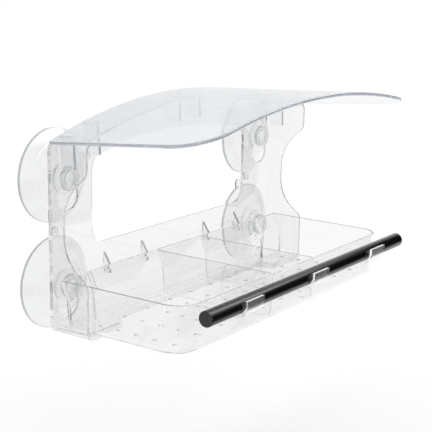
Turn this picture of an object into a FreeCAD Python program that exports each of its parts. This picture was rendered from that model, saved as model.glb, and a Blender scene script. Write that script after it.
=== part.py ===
import FreeCAD, Part
import math
import os

import Sketcher

# A clear window bird feeder: a housing that hangs on four suction cups, a lift-off arched roof,
# a slide-out seed tray and a round perch. Millimetres.
# +X runs to the right along the window, +Y points into the window and +Z points up.
# The origin lies on the window plane, midway between the four suction cups.
# Sketches are drawn in the housing's own frame: Y = 0 is the back face of the back panel,
# Z = 0 the underside of the base ledge. Each finished body is then placed from the window plane.

DIMENSIONS = [
    ("housing_width", 300.0, "outer width of the housing"),
    ("housing_depth", 37.4, "depth of the side walls at their upper and lower lobes"),
    ("housing_wall", 2.2, "thickness of every wall of the housing"),
    ("housing_corner", 8.0, "outer radius of the housing's four long corners"),
    ("ledge_thickness", 4.9, "thickness of the base ledge"),
    ("crest_height", 167.7, "top plate's highest line above the base, at the back"),
    ("back_rise", 23.4, "rise of the arch over the housing's width at the back face"),
    ("front_rise", 18.3, "rise of the arch over the housing's width at the roof's front"),
    ("top_tilt", 2.8, "degrees that the top plate and the roof rise towards the front"),
    ("waist_depth", 15.0, "depth of the side walls at their waist"),
    ("lower_lobe_top", 38.3, "height where the side wall leaves its lower lobe"),
    ("waist_bottom", 76.3, "lower end of the waist"),
    ("waist_top", 87.3, "upper end of the waist"),
    ("upper_lobe_bottom", 129.3, "height where the side wall reaches its upper lobe"),
    ("lobe_radius", 10.0, "radius where a lobe turns into the waist"),
    ("side_edge", 0.8, "radius of the side walls' front edges"),
    ("ledge_depth", 22.0, "depth of the base ledge in the middle"),
    ("ledge_wing", 46.0, "width of the full-depth part of the base ledge at each side"),
    ("window_side", 46.5, "width of the back panel left at each side of its opening"),
    ("window_bottom", 60.8, "lower edge of that opening"),
    ("window_band", 28.0, "height of the back panel left above that opening"),
    ("window_corner", 13.0, "corner radius of that opening"),
    ("cup_inset", 20.0, "distance of a cup's axis from the housing's side"),
    ("lower_cup_height", 33.8, "height of the lower cups above the base"),
    ("upper_cup_height", 116.8, "height of the upper cups above the base"),
    ("keyhole_travel", 14.0, "how far the housing lifts before the buttons pass"),
    ("keyhole_clearance", 0.4, "gap around a cup's neck in its slot"),
    ("button_clearance", 1.3, "gap around a cup's button in the round end of the keyhole"),
    ("fin_thickness", 2.4, "thickness of a fin that holds the tray's back rim"),
    ("fin_reach", 6.2, "how far a fin stands out from the back panel above the rim"),
    ("fin_height", 11.0, "height of a fin above the rim"),
    ("fin_rim_gap", 0.8, "gap between a fin and the back of the rim"),
    ("fin_slot", 3.9, "height of the slot in a fin below the rim's top"),
    ("fin_nose", 3.0, "height of the nose below that slot"),
    ("fin_nose_gap", 0.55, "gap between that nose and the tray's leaning back wall"),
    ("fin_spacing", 47.0, "distance between the two fins of a side"),
    ("fin_inset", 60.0, "distance of the outer fins from the housing's side"),
    ("rest_gap", 0.3, "gap left between pieces that rest on each other"),
    ("roof_gap", 0.4, "gap left between the roof and the housing's top"),
    ("roof_overhang", 3.0, "how far the roof reaches past each side of the housing"),
    ("roof_length", 140.2, "length of the roof from back to front"),
    ("roof_setback", 2.4, "distance of the roof's back edge from the back face"),
    ("roof_thickness", 2.6, "thickness of the roof"),
    ("roof_edge", 1.1, "radius of the roof's long edges"),
    ("roof_front_corner", 32.0, "radius of the roof's front corners"),
    ("roof_back_corner", 1.5, "radius of the roof's back corners"),
    ("leg_length", 22.0, "length of a roof leg below the roof"),
    ("leg_width", 14.0, "width of a roof leg, front to back"),
    ("leg_thickness", 2.4, "thickness of a roof leg"),
    ("leg_start", 3.6, "distance of a roof leg from the back face"),
    ("leg_spacing", 27.0, "distance between the two legs of a pair"),
    ("leg_inset", 22.5, "distance of an outer pair of legs from the housing's side"),
    ("slot_clearance", 0.5, "gap around a leg in its slot"),
    ("tray_depth", 116.5, "length of the seed tray from back rim to front rim"),
    ("tray_height", 37.0, "height of the seed tray"),
    ("tray_wall", 2.2, "thickness of the tray's walls and floor"),
    ("tray_side_gap", 0.8, "gap between the tray and each side wall"),
    ("tray_rear_gap", 4.1, "gap between the back panel and the tray's back rim"),
    ("tray_step", 2.7, "how far the back wall steps forward beside the lower cups"),
    ("tray_step_inset", 33.0, "distance of that step from the housing's side"),
    ("tray_slope_run", 6.3, "how far the back wall leans in below its rim"),
    ("tray_slope_drop", 14.0, "height of that leaning part"),
    ("tray_foot_run", 2.0, "how far the lower back wall leans in"),
    ("tray_front_draft", 2.4, "how far the front wall leans out"),
    ("tray_corner", 20.0, "radius of the tray's front corners"),
    ("tray_bottom_radius", 5.0, "radius of the tray's lower edges"),
    ("divider_offset", 30.5, "distance of a divider from the middle"),
    ("divider_thickness", 1.8, "thickness of a divider"),
    ("drain_radius", 2.0, "radius of a drain hole"),
    ("drain_columns", 10.0, "drain holes from left to right"),
    ("drain_rows", 5.0, "drain holes from back to front"),
    ("drain_side_margin", 18.35, "distance of the outer drain holes from the tray's side"),
    ("drain_row_pitch", 17.2, "distance between drain holes, back to front"),
    ("drain_first_row", 32.0, "distance of the first row from the back face"),
    ("perch_radius", 6.0, "radius of the perch"),
    ("perch_inset", 6.2, "distance of the perch's ends from the housing's sides"),
    ("perch_reach", 15.8, "distance of the perch's axis from the tray's front rim"),
    ("perch_drop", 4.6, "distance of the perch's axis below the rim"),
    ("perch_chamfer", 0.7, "chamfer on the perch's ends"),
    ("cradle_width", 22.5, "width of a perch cradle"),
    ("cradle_thickness", 2.2, "thickness of a perch cradle"),
    ("cradle_lip", 4.5, "height of a cradle's lip above the perch's axis"),
    ("cradle_inset", 56.5, "distance of an outer cradle from the housing's side"),
    ("cup_radius", 36.0, "radius of a suction cup"),
    ("cup_standoff", 15.0, "distance of the back panel from the window"),
    ("cup_rim_width", 2.5, "width of the flat sealing rim"),
    ("cup_rim_thickness", 1.8, "thickness of a cup at its rim"),
    ("cup_dish_depth", 6.5, "depth of a cup's hollow"),
    ("hub_radius", 12.5, "radius of the hub behind the back panel"),
    ("hub_thickness", 2.4, "height of that hub's wall"),
    ("neck_radius", 4.8, "radius of the neck that passes through the back panel"),
    ("button_radius", 9.5, "radius of the button in front of the back panel"),
    ("button_thickness", 4.0, "thickness of the button"),
    ("button_round", 1.4, "edge radius of the button"),
    ("cup_play", 0.5, "gap between the back panel and the hub or the button"),
    ("tab_width", 7.0, "width of a pull tab"),
    ("tab_length", 7.5, "how far a pull tab stands out from the rim"),
    ("tab_thickness", 1.4, "thickness of a pull tab"),
]

# Heights, places and sizes that follow from the driving dimensions, as expressions on the sheet.
HALF_WIDTH = "(dims.housing_width / 2)"
CORNER_X = f"({HALF_WIDTH} - dims.housing_corner)"
CUP_X = f"({HALF_WIDTH} - dims.cup_inset)"
STEP_X = f"({HALF_WIDTH} - dims.tray_step_inset)"
CUP_MIDDLE = "((dims.lower_cup_height + dims.upper_cup_height) / 2)"
TILT = "(dims.top_tilt * 1 deg)"
TRAY_BOTTOM = "(dims.ledge_thickness + dims.rest_gap)"
RIM_HEIGHT = f"({TRAY_BOTTOM} + dims.tray_height)"
TRAY_HALF_WIDTH = f"({HALF_WIDTH} - dims.housing_wall - dims.tray_side_gap)"
TRAY_BACK = "(-dims.housing_wall - dims.tray_rear_gap)"
TRAY_FRONT = f"({TRAY_BACK} - dims.tray_depth)"
PERCH_Y = f"({TRAY_FRONT} - dims.perch_reach)"
PERCH_Z = f"({RIM_HEIGHT} - dims.perch_drop)"

doc = FreeCAD.newDocument("window_bird_feeder")


def make_sheet():
    """Write every driving dimension to the sheet, one row each, under its own alias."""
    sheet = doc.addObject("Spreadsheet::Sheet", "dims")
    for row, (alias, value, meaning) in enumerate(DIMENSIONS, start=1):
        sheet.set(f"A{row}", alias)
        sheet.set(f"B{row}", str(value))
        sheet.set(f"C{row}", meaning)
        sheet.setAlias(f"B{row}", alias)
    doc.recompute()
    return sheet


sheet = make_sheet()


def value(expression):
    """The number that an expression on the sheet stands for."""
    return float(sheet.evalExpression(expression))


def new_body(label):
    """A body placed from the window plane and the middle of the cups."""
    body = doc.addObject("PartDesign::Body", label)
    body.Label = label
    body.setExpression(".Placement.Base.y", "-dims.cup_standoff")
    body.setExpression(".Placement.Base.z", f"-{CUP_MIDDLE}")
    return body


def new_sketch(body, name, plane_role, offset=None):
    """A sketch on one of the body's own planes, moved along that plane's normal by offset."""
    sketch = body.newObject("Sketcher::SketchObject", name)
    plane = next(item for item in body.Origin.OriginFeatures if item.Role == plane_role)
    sketch.AttachmentSupport = [(plane, "")]
    sketch.MapMode = "FlatFace"
    if offset is not None:
        sketch.setExpression(".AttachmentOffset.Base.z", offset)
    return sketch


def fix(sketch, kind, geometry, point, expression):
    """Hold one coordinate of a sketch point at an expression, measured from the origin."""
    constraint = Sketcher.Constraint(kind, -1, 1, geometry, point, value(expression))
    index = sketch.addConstraint(constraint)
    sketch.setExpression(f"Constraints[{index}]", expression)


def line_to(x, y):
    """A straight stretch of an outline, ending at x, y."""
    return {"end": (x, y)}


def arc_to(x, y, centre, turn):
    """A round stretch of an outline: turn is 1 for anticlockwise and -1 for clockwise."""
    return {"end": (x, y), "centre": centre, "turn": turn}


def add_arc(sketch, start, end, centre, turn):
    """Draw an arc and hold its centre. Gives its index and its start and end point numbers."""
    middle = FreeCAD.Vector(value(centre[0]), value(centre[1]), 0)
    first, last = (start, end) if turn > 0 else (end, start)
    first_angle = math.atan2(first.y - middle.y, first.x - middle.x)
    last_angle = math.atan2(last.y - middle.y, last.x - middle.x)
    if last_angle <= first_angle:
        last_angle += 2 * math.pi
    circle = Part.Circle(middle, FreeCAD.Vector(0, 0, 1), first.distanceToPoint(middle))
    index = sketch.addGeometry(Part.ArcOfCircle(circle, first_angle, last_angle))
    chord = end - start
    if abs(chord.x) > abs(chord.y):
        fix(sketch, "DistanceY", index, 3, centre[1])
    else:
        fix(sketch, "DistanceX", index, 3, centre[0])
    return (index, 1, 2) if turn > 0 else (index, 2, 1)


def draw_outline(sketch, start, stretches):
    """Draw a closed outline from start through every stretch, each corner held by expressions."""
    corners = [start] + [stretch["end"] for stretch in stretches]
    points = [FreeCAD.Vector(value(x), value(y), 0) for x, y in corners]
    drawn = []
    for number, stretch in enumerate(stretches):
        here = points[number]
        there = points[number + 1]
        if "centre" in stretch:
            drawn.append(add_arc(sketch, here, there, stretch["centre"], stretch["turn"]))
        else:
            drawn.append((sketch.addGeometry(Part.LineSegment(here, there)), 1, 2))
    for number, (index, first, last) in enumerate(drawn):
        following, following_first, _ = drawn[(number + 1) % len(drawn)]
        sketch.addConstraint(Sketcher.Constraint("Coincident", index, last, following, following_first))
        fix(sketch, "DistanceX", index, first, corners[number][0])
        fix(sketch, "DistanceY", index, first, corners[number][1])


def draw_rectangle(sketch, left, bottom, right, top):
    """Draw an upright rectangle between two corners."""
    stretches = [line_to(right, bottom), line_to(right, top), line_to(left, top), line_to(left, bottom)]
    draw_outline(sketch, (left, bottom), stretches)


def draw_circle(sketch, x, y, radius):
    """Draw a circle whose centre and radius are held by expressions."""
    circle = Part.Circle(FreeCAD.Vector(value(x), value(y), 0), FreeCAD.Vector(0, 0, 1), value(radius))
    index = sketch.addGeometry(circle)
    fix(sketch, "DistanceX", index, 3, x)
    fix(sketch, "DistanceY", index, 3, y)
    constraint = sketch.addConstraint(Sketcher.Constraint("Radius", index, value(radius)))
    sketch.setExpression(f"Constraints[{constraint}]", radius)


def extrude(body, kind, name, sketch, length, symmetric=False, backwards=False):
    """A Pad or a Pocket of a sketch over a length."""
    feature = body.newObject(f"PartDesign::{kind}", name)
    feature.Profile = sketch
    feature.SideType = "Symmetric" if symmetric else "One side"
    feature.Reversed = backwards
    feature.setExpression("Length", length)
    doc.recompute()
    return feature


def cut(body, name, sketch, length):
    """A pocket over both sides of its sketch, which has to take something away."""
    volume_before = body.Shape.Volume
    pocket = extrude(body, "Pocket", name, sketch, length, symmetric=True)
    if body.Shape.Volume > volume_before - 1e-3:
        raise RuntimeError(f"{name} removes nothing")
    return pocket


def loft(body, kind, name, back_sketch, front_sketch):
    """A straight loft between two sections."""
    feature = body.newObject(f"PartDesign::{kind}", name)
    feature.Profile = back_sketch
    feature.Sections = [front_sketch]
    feature.Ruled = True
    doc.recompute()
    return feature


def round_edges(body, name, radius, wanted):
    """Round every edge of the body for which wanted(edge) is true."""
    base = body.Tip
    names = [f"Edge{number}" for number, edge in enumerate(base.Shape.Edges, start=1) if wanted(edge)]
    if not names:
        raise RuntimeError(f"{name} finds no edge")
    fillet = body.newObject("PartDesign::Fillet", name)
    fillet.Base = (base, names)
    fillet.setExpression("Radius", radius)
    doc.recompute()
    return fillet


def near(first, second):
    """Whether two lengths agree."""
    return abs(first - second) < 0.01


def arch_radius(depth):
    """Radius of the top plate's arch at a depth: the arch flattens evenly towards the roof's front."""
    share = f"(({depth}) / (dims.roof_setback + dims.roof_length))"
    rise = f"(dims.back_rise + (dims.front_rise - dims.back_rise) * {share})"
    return f"(({HALF_WIDTH}^2 + {rise}^2) / (2 * {rise}))"


def arch_drop(x, radius):
    """How far an arch of this radius has fallen at x."""
    return f"({radius} - sqrt({radius}^2 - {x}^2))"


BACK_RADIUS = arch_radius("0")


# Housing


def housing_outline(sketch, inset, floor, depth):
    """The housing's front view at a depth, drawn in by inset above a floor height."""
    side = f"({HALF_WIDTH} - {inset})"
    plate = arch_radius(depth)
    arch = f"({plate} - {inset})"
    arch_middle = f"(dims.crest_height + ({depth}) * tan({TILT}) - {plate})"
    corner_arm = f"({plate} - dims.housing_corner)"
    corner_rise = f"sqrt({corner_arm}^2 - {CORNER_X}^2)"
    corner_z = f"({arch_middle} + {corner_rise})"
    meet_x = f"({CORNER_X} * {arch} / {corner_arm})"
    meet_z = f"({arch_middle} + {corner_rise} * {arch} / {corner_arm})"
    low = f"({floor} + dims.housing_corner - {inset})"
    stretches = [
        line_to(CORNER_X, floor),
        arc_to(side, low, (CORNER_X, low), 1),
        line_to(side, corner_z),
        arc_to(meet_x, meet_z, (CORNER_X, corner_z), 1),
        arc_to(f"-{meet_x}", meet_z, ("0", arch_middle), 1),
        arc_to(f"-{side}", corner_z, (f"-{CORNER_X}", corner_z), 1),
        line_to(f"-{side}", low),
        arc_to(f"-{CORNER_X}", floor, (f"-{CORNER_X}", low), 1),
    ]
    draw_outline(sketch, (f"-{CORNER_X}", floor), stretches)


def housing_block(body, kind, name, inset, floor, back, front):
    """The housing's block, or its hollow, between two depths in front of the back face."""
    sections = []
    for end, depth in (("back", back), ("front", front)):
        section = new_sketch(body, f"{name}_{end}", "XZ_Plane", depth)
        housing_outline(section, inset, floor, depth)
        sections.append(section)
    return loft(body, kind, name, *sections)


def cut_hourglass(body):
    """Draw in the front edge of both side walls to a waist."""
    sketch = new_sketch(body, "hourglass", "YZ_Plane")
    front = "(-dims.housing_depth)"
    waist = "(-dims.waist_depth)"
    beyond = "(-2 * dims.housing_depth)"
    draw_in = "(dims.housing_depth - dims.waist_depth)"
    lobe_y = f"({front} + dims.lobe_radius)"

    def turn(lobe_z, waist_z):
        """Centre of the waist's curve, and the point where it meets the lobe's curve."""
        run = f"({waist_z} - {lobe_z})"
        both = f"(({run}^2 + {draw_in}^2) / (2 * {draw_in}))"
        waist_y = f"({waist} - ({both} - dims.lobe_radius))"
        share = f"(dims.lobe_radius / {both})"
        meet = (f"({lobe_y} + ({waist_y} - {lobe_y}) * {share})", f"({lobe_z} + {run} * {share})")
        return (waist_y, waist_z), meet

    lower_centre, lower_meet = turn("dims.lower_lobe_top", "dims.waist_bottom")
    upper_centre, upper_meet = turn("dims.upper_lobe_bottom", "dims.waist_top")
    stretches = [
        arc_to(*lower_meet, (lobe_y, "dims.lower_lobe_top"), -1),
        arc_to(waist, "dims.waist_bottom", lower_centre, 1),
        line_to(waist, "dims.waist_top"),
        arc_to(*upper_meet, upper_centre, 1),
        arc_to(front, "dims.upper_lobe_bottom", (lobe_y, "dims.upper_lobe_bottom"), -1),
        line_to(beyond, "dims.upper_lobe_bottom"),
        line_to(beyond, "dims.lower_lobe_top"),
        line_to(front, "dims.lower_lobe_top"),
    ]
    draw_outline(sketch, (front, "dims.lower_lobe_top"), stretches)
    cut(body, "hourglass_cut", sketch, "2 * dims.housing_width")


def round_side_edges(body):
    """Round the front edges of both side walls, inside and outside."""
    outside = value(HALF_WIDTH)
    inside = outside - value("dims.housing_wall")
    waist = -value("dims.waist_depth")

    def wanted(edge):
        ends = [vertex.Point for vertex in edge.Vertexes]
        along_wall = any(all(near(abs(end.x), side) for end in ends) for side in (outside, inside))
        return along_wall and all(end.y < waist + 0.01 for end in ends)

    round_edges(body, "side_edges", "dims.side_edge", wanted)


def cut_window(body):
    """Open the back panel. The opening's upper edge follows the arched top."""
    sketch = new_sketch(body, "window", "XZ_Plane")
    side = f"({HALF_WIDTH} - dims.window_side)"
    corner = "dims.window_corner"
    corner_x = f"({side} - {corner})"
    low = f"(dims.window_bottom + {corner})"
    arch = f"({BACK_RADIUS} - dims.window_band)"
    arch_middle = f"(dims.crest_height - {BACK_RADIUS})"
    corner_arm = f"({arch} - {corner})"
    corner_rise = f"sqrt({corner_arm}^2 - {corner_x}^2)"
    high = f"({arch_middle} + {corner_rise})"
    meet_x = f"({corner_x} * {arch} / {corner_arm})"
    meet_z = f"({arch_middle} + {corner_rise} * {arch} / {corner_arm})"
    stretches = [
        line_to(corner_x, "dims.window_bottom"),
        arc_to(side, low, (corner_x, low), 1),
        line_to(side, high),
        arc_to(meet_x, meet_z, (corner_x, high), 1),
        arc_to(f"-{meet_x}", meet_z, ("0", arch_middle), 1),
        arc_to(f"-{side}", high, (f"-{corner_x}", high), 1),
        line_to(f"-{side}", low),
        arc_to(f"-{corner_x}", "dims.window_bottom", (f"-{corner_x}", low), 1),
    ]
    draw_outline(sketch, (f"-{corner_x}", "dims.window_bottom"), stretches)
    cut(body, "window_cut", sketch, "4 * dims.housing_wall")


def cut_keyholes(body):
    """Four keyholes: a narrow slot above, where a cup's neck rests, and a round hole below."""
    sketch = new_sketch(body, "keyholes", "XZ_Plane")
    slot = "(dims.neck_radius + dims.keyhole_clearance)"
    hole = "(dims.button_radius + dims.button_clearance)"
    for side in ("-", ""):
        middle = f"({side}{CUP_X})"
        left = f"({middle} - {slot})"
        right = f"({middle} + {slot})"
        for neck_z in ("dims.lower_cup_height", "dims.upper_cup_height"):
            hole_z = f"({neck_z} - dims.keyhole_travel)"
            shoulder = f"({hole_z} + sqrt({hole}^2 - {slot}^2))"
            stretches = [
                arc_to(left, neck_z, (middle, neck_z), 1),
                line_to(left, shoulder),
                arc_to(right, shoulder, (middle, hole_z), 1),
                line_to(right, neck_z),
            ]
            draw_outline(sketch, (right, neck_z), stretches)
    cut(body, "keyhole_cut", sketch, "4 * dims.housing_wall")


def cut_ledge(body):
    """Cut the base ledge back between its two wings, with a rounded step at each wing."""
    sketch = new_sketch(body, "ledge", "XY_Plane")
    front = "(-dims.housing_depth)"
    back = "(-dims.ledge_depth)"
    beyond = "(-2 * dims.housing_depth)"
    radius = "((dims.housing_depth - dims.ledge_depth) / 2)"
    edge = f"({HALF_WIDTH} - dims.ledge_wing)"
    outer = f"({edge} + {radius})"
    inner = f"({edge} - {radius})"
    half_way = f"({back} - {radius})"
    stretches = [
        line_to(outer, front),
        arc_to(edge, half_way, (outer, half_way), -1),
        arc_to(inner, back, (inner, half_way), 1),
        line_to(f"-{inner}", back),
        arc_to(f"-{edge}", half_way, (f"-{inner}", half_way), 1),
        arc_to(f"-{outer}", front, (f"-{outer}", half_way), -1),
        line_to(f"-{outer}", beyond),
        line_to(outer, beyond),
    ]
    draw_outline(sketch, (outer, beyond), stretches)
    cut(body, "ledge_cut", sketch, "4 * dims.ledge_thickness")


def leg_places():
    """Where the roof's legs stand, left to right: three pairs."""
    places = []
    for pair in (-1, 0, 1):
        for side in (-1, 1):
            middle = f"{pair} * ({HALF_WIDTH} - dims.leg_inset)"
            places.append(f"({middle} + {side} * dims.leg_spacing / 2)")
    return places


def cut_leg_slots(body):
    """Slots in the top plate, one for each roof leg, moved forward where the tilt moves the leg."""
    sketch = new_sketch(body, "leg_slots", "XY_Plane", "dims.crest_height")
    reach = "(dims.leg_thickness / 2 + dims.slot_clearance)"
    play = "(2 * dims.slot_clearance)"
    for x in leg_places():
        shift = f"({arch_drop(x, BACK_RADIUS)} * tan({TILT}))"
        back = f"(-dims.leg_start - {shift} + dims.slot_clearance)"
        front = f"(-dims.leg_start - dims.leg_width - {shift} - {play})"
        draw_rectangle(sketch, f"({x} - {reach})", front, f"({x} + {reach})", back)
    cut(body, "leg_slot_cut", sketch, "3 * dims.leg_length")


def add_fins(body):
    """Four fins on the back panel. Each takes the tray's back rim into a slot, above a small nose."""
    foot = f"({RIM_HEIGHT} + dims.rest_gap)"
    root = "(-dims.housing_wall / 2)"
    tip = "(-dims.housing_wall - dims.fin_reach)"
    top = f"({foot} + dims.fin_height)"
    slot_back = f"({TRAY_BACK} + dims.fin_rim_gap)"
    slot_low = f"({RIM_HEIGHT} - dims.fin_slot)"
    wall_lean = "(dims.tray_slope_run / dims.tray_slope_drop)"
    nose_tip = f"({TRAY_BACK} - {wall_lean} * dims.fin_slot + dims.fin_nose_gap)"
    nose_low = f"({slot_low} - dims.fin_nose)"
    stretches = [
        line_to(root, top),
        line_to(tip, foot),
        line_to(slot_back, foot),
        line_to(slot_back, slot_low),
        line_to(nose_tip, slot_low),
        line_to(nose_tip, nose_low),
        line_to(root, nose_low),
    ]
    outer = f"({HALF_WIDTH} - dims.fin_inset)"
    inner = f"({outer} - dims.fin_spacing)"
    for number, x in enumerate((f"-{outer}", f"-{inner}", inner, outer), start=1):
        sketch = new_sketch(body, f"fin_{number}", "YZ_Plane", x)
        draw_outline(sketch, (root, nose_low), stretches)
        extrude(body, "Pad", f"fin_{number}_pad", sketch, "dims.fin_thickness", symmetric=True)


def make_housing():
    """The clear moulding that carries everything."""
    body = new_body("housing")
    wall = "dims.housing_wall"
    housing_block(body, "AdditiveLoft", "block", "0", "0", "0", "dims.housing_depth")
    housing_block(body, "SubtractiveLoft", "hollow", wall, "dims.ledge_thickness", wall,
                  "1.5 * dims.housing_depth")
    cut_hourglass(body)
    round_side_edges(body)
    cut_window(body)
    cut_keyholes(body)
    cut_ledge(body)
    cut_leg_slots(body)
    add_fins(body)
    return body


# Roof


def roof_section(body, name, depth):
    """The roof's arched section at a depth, a small gap above the top plate's arch."""
    sketch = new_sketch(body, name, "XZ_Plane", depth)
    plate = arch_radius(depth)
    inner = f"({plate} + dims.roof_gap)"
    outer = f"({inner} + dims.roof_thickness)"
    arch_middle = f"(-{plate})"
    half = f"({HALF_WIDTH} + dims.roof_overhang)"
    rise = f"sqrt({outer}^2 - {half}^2)"
    share = f"({inner} / {outer})"
    outer_z = f"({arch_middle} + {rise})"
    inner_x = f"({half} * {share})"
    inner_z = f"({arch_middle} + {rise} * {share})"
    stretches = [
        arc_to(f"-{half}", outer_z, ("0", arch_middle), 1),
        line_to(f"-{inner_x}", inner_z),
        arc_to(inner_x, inner_z, ("0", arch_middle), -1),
        line_to(half, outer_z),
    ]
    draw_outline(sketch, (half, outer_z), stretches)
    return sketch


def make_roof():
    """The arched roof, drawn about the top plate's crest line and tilted with it."""
    body = new_body("roof")
    body.setExpression(".Placement.Base.z", f"dims.crest_height - {CUP_MIDDLE}")
    body.Placement.Rotation = FreeCAD.Rotation(FreeCAD.Vector(-1, 0, 0), value("dims.top_tilt"))
    body.setExpression(".Placement.Rotation.Angle", TILT)
    back = roof_section(body, "arch_back", "dims.roof_setback")
    front = roof_section(body, "arch_front", "(dims.roof_setback + dims.roof_length)")
    loft(body, "AdditiveLoft", "arch", back, front)
    round_roof_corners(body)
    round_edges(body, "edges", "dims.roof_edge", lambda edge: edge.Length > value("1.5 * dims.roof_thickness"))
    for number, x in enumerate(leg_places(), start=1):
        add_leg(body, number, x)
    return body


def round_roof_corners(body):
    """Round the roof's four corners, the front ones wide."""
    thickness = value("dims.roof_thickness")
    front = -value("dims.roof_setback + dims.roof_length")
    back = -value("dims.roof_setback")

    def corner_at(depth):
        return lambda edge: near(edge.Length, thickness) and near(edge.CenterOfMass.y, depth)

    round_edges(body, "front_corners", "dims.roof_front_corner", corner_at(front))
    round_edges(body, "back_corners", "dims.roof_back_corner", corner_at(back))


def add_leg(body, number, x):
    """One flat leg, from the middle of the roof's thickness down."""
    middle_depth = "(dims.leg_start + dims.leg_width / 2)"
    under = f"(dims.roof_gap - {arch_drop(x, arch_radius(middle_depth))})"
    half = "(dims.leg_thickness / 2)"
    sketch = new_sketch(body, f"leg_{number}", "XY_Plane", f"{under} - dims.leg_length")
    draw_rectangle(sketch, f"({x} - {half})", "(-dims.leg_start - dims.leg_width)", f"({x} + {half})",
                   "(-dims.leg_start)")
    extrude(body, "Pad", f"leg_{number}_pad", sketch, "dims.leg_length + dims.roof_thickness / 2")


# Seed tray


def tray_profile(sketch, inset, top, step):
    """The tray's side view, drawn in by inset, with its back wall stepped forward by step."""
    rim_y = f"({TRAY_BACK} - {step} - {inset})"
    bend_y = f"({rim_y} - dims.tray_slope_run)"
    bend_z = f"({RIM_HEIGHT} - dims.tray_slope_drop)"
    foot_y = f"({bend_y} - dims.tray_foot_run)"
    floor = f"({TRAY_BOTTOM} + {inset})"
    front_y = f"({TRAY_FRONT} + {inset})"
    front_foot_y = f"({front_y} + dims.tray_front_draft)"
    stretches = [
        line_to(bend_y, bend_z),
        line_to(foot_y, floor),
        line_to(front_foot_y, floor),
        line_to(front_y, RIM_HEIGHT),
    ]
    if top == RIM_HEIGHT:
        stretches.append(line_to(rim_y, RIM_HEIGHT))
    else:
        stretches += [line_to(front_y, top), line_to(rim_y, top), line_to(rim_y, RIM_HEIGHT)]
    draw_outline(sketch, (rim_y, RIM_HEIGHT), stretches)


def tray_section(body, name, inset, top, step, half_width):
    """A block of the tray, or of its hollow, over a width about the middle."""
    sketch = new_sketch(body, name, "YZ_Plane")
    tray_profile(sketch, inset, top, step)
    if inset == "0":
        extrude(body, "Pad", f"{name}_pad", sketch, f"2 * {half_width}", symmetric=True)
    else:
        cut(body, f"{name}_cut", sketch, f"2 * {half_width}")


def on_front_wall(edge, half_width, front_y, front_foot_y):
    """Whether an edge is the upright corner between the front wall and a side wall."""
    ends = [vertex.Point for vertex in edge.Vertexes]
    if len(ends) != 2 or not all(near(abs(end.x), half_width) for end in ends):
        return False
    depths = sorted(end.y for end in ends)
    return near(depths[0], front_y) and near(depths[1], front_foot_y)


def round_tray_corners(body, name, inset, radius):
    """Round the two front corners of the tray's outside or inside."""
    half_width = value(f"{TRAY_HALF_WIDTH} - {inset}")
    front_y = value(f"{TRAY_FRONT} + {inset}")
    front_foot_y = value(f"{TRAY_FRONT} + {inset} + dims.tray_front_draft")
    round_edges(body, name, radius, lambda edge: on_front_wall(edge, half_width, front_y, front_foot_y))


def round_tray_bottom(body, name, inset, radius):
    """Round the lower edges along the front and both sides of the tray's outside or inside."""
    bottom = value(f"{TRAY_BOTTOM} + {inset}")
    slope = "(dims.tray_slope_run + dims.tray_foot_run)"
    back = value(f"{TRAY_BACK} - {inset} - dims.tray_step - {slope}")

    def wanted(edge):
        low = all(near(vertex.Z, bottom) for vertex in edge.Vertexes)
        return low and edge.CenterOfMass.y < back - 1

    round_edges(body, name, radius, wanted)


def add_dividers(body):
    """Two full-height dividers that make three compartments."""
    for name, side in (("left", "-"), ("right", "")):
        sketch = new_sketch(body, f"divider_{name}", "YZ_Plane", f"{side}dims.divider_offset")
        tray_profile(sketch, "(0.9 * dims.tray_wall)", RIM_HEIGHT, "0")
        extrude(body, "Pad", f"divider_{name}_pad", sketch, "dims.divider_thickness", symmetric=True)


def cut_drain_holes(body):
    """Drain holes through the floor, one column repeated across the tray."""
    sketch = new_sketch(body, "drain_column", "XY_Plane", TRAY_BOTTOM)
    last_x = f"({TRAY_HALF_WIDTH} - dims.drain_side_margin)"
    for row in range(round(value("dims.drain_rows"))):
        draw_circle(sketch, f"-{last_x}", f"(-dims.drain_first_row - {row} * dims.drain_row_pitch)",
                    "dims.drain_radius")
    column = cut(body, "drain_column_cut", sketch, "4 * dims.tray_wall")
    across = body.newObject("PartDesign::LinearPattern", "drain_columns")
    across.Originals = [column]
    across.Direction = (sketch, ["H_Axis"])
    across.setExpression("Length", f"2 * {last_x}")
    across.setExpression("Occurrences", "dims.drain_columns")
    body.Tip = across
    doc.recompute()


def add_cradles(body):
    """Three hooks on the front wall that carry the perch from below and in front."""
    inner = "(dims.perch_radius + dims.rest_gap)"
    outer = f"({inner} + dims.cradle_thickness)"
    root = f"({TRAY_FRONT} + dims.tray_wall)"
    lip = f"({PERCH_Z} + dims.cradle_lip)"
    centre = (PERCH_Y, PERCH_Z)
    for number, place in enumerate((-1, 0, 1), start=1):
        middle = f"{place} * ({HALF_WIDTH} - dims.cradle_inset)"
        sketch = new_sketch(body, f"cradle_{number}", "YZ_Plane", middle)
        stretches = [
            line_to(PERCH_Y, f"({PERCH_Z} - {inner})"),
            arc_to(f"({PERCH_Y} - {inner})", PERCH_Z, centre, -1),
            line_to(f"({PERCH_Y} - {inner})", lip),
            line_to(f"({PERCH_Y} - {outer})", lip),
            line_to(f"({PERCH_Y} - {outer})", PERCH_Z),
            arc_to(PERCH_Y, f"({PERCH_Z} - {outer})", centre, 1),
            line_to(root, f"({PERCH_Z} - {outer})"),
            line_to(root, f"({PERCH_Z} - {inner})"),
        ]
        draw_outline(sketch, (root, f"({PERCH_Z} - {inner})"), stretches)
        extrude(body, "Pad", f"cradle_{number}_pad", sketch, "dims.cradle_width", symmetric=True)


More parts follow.
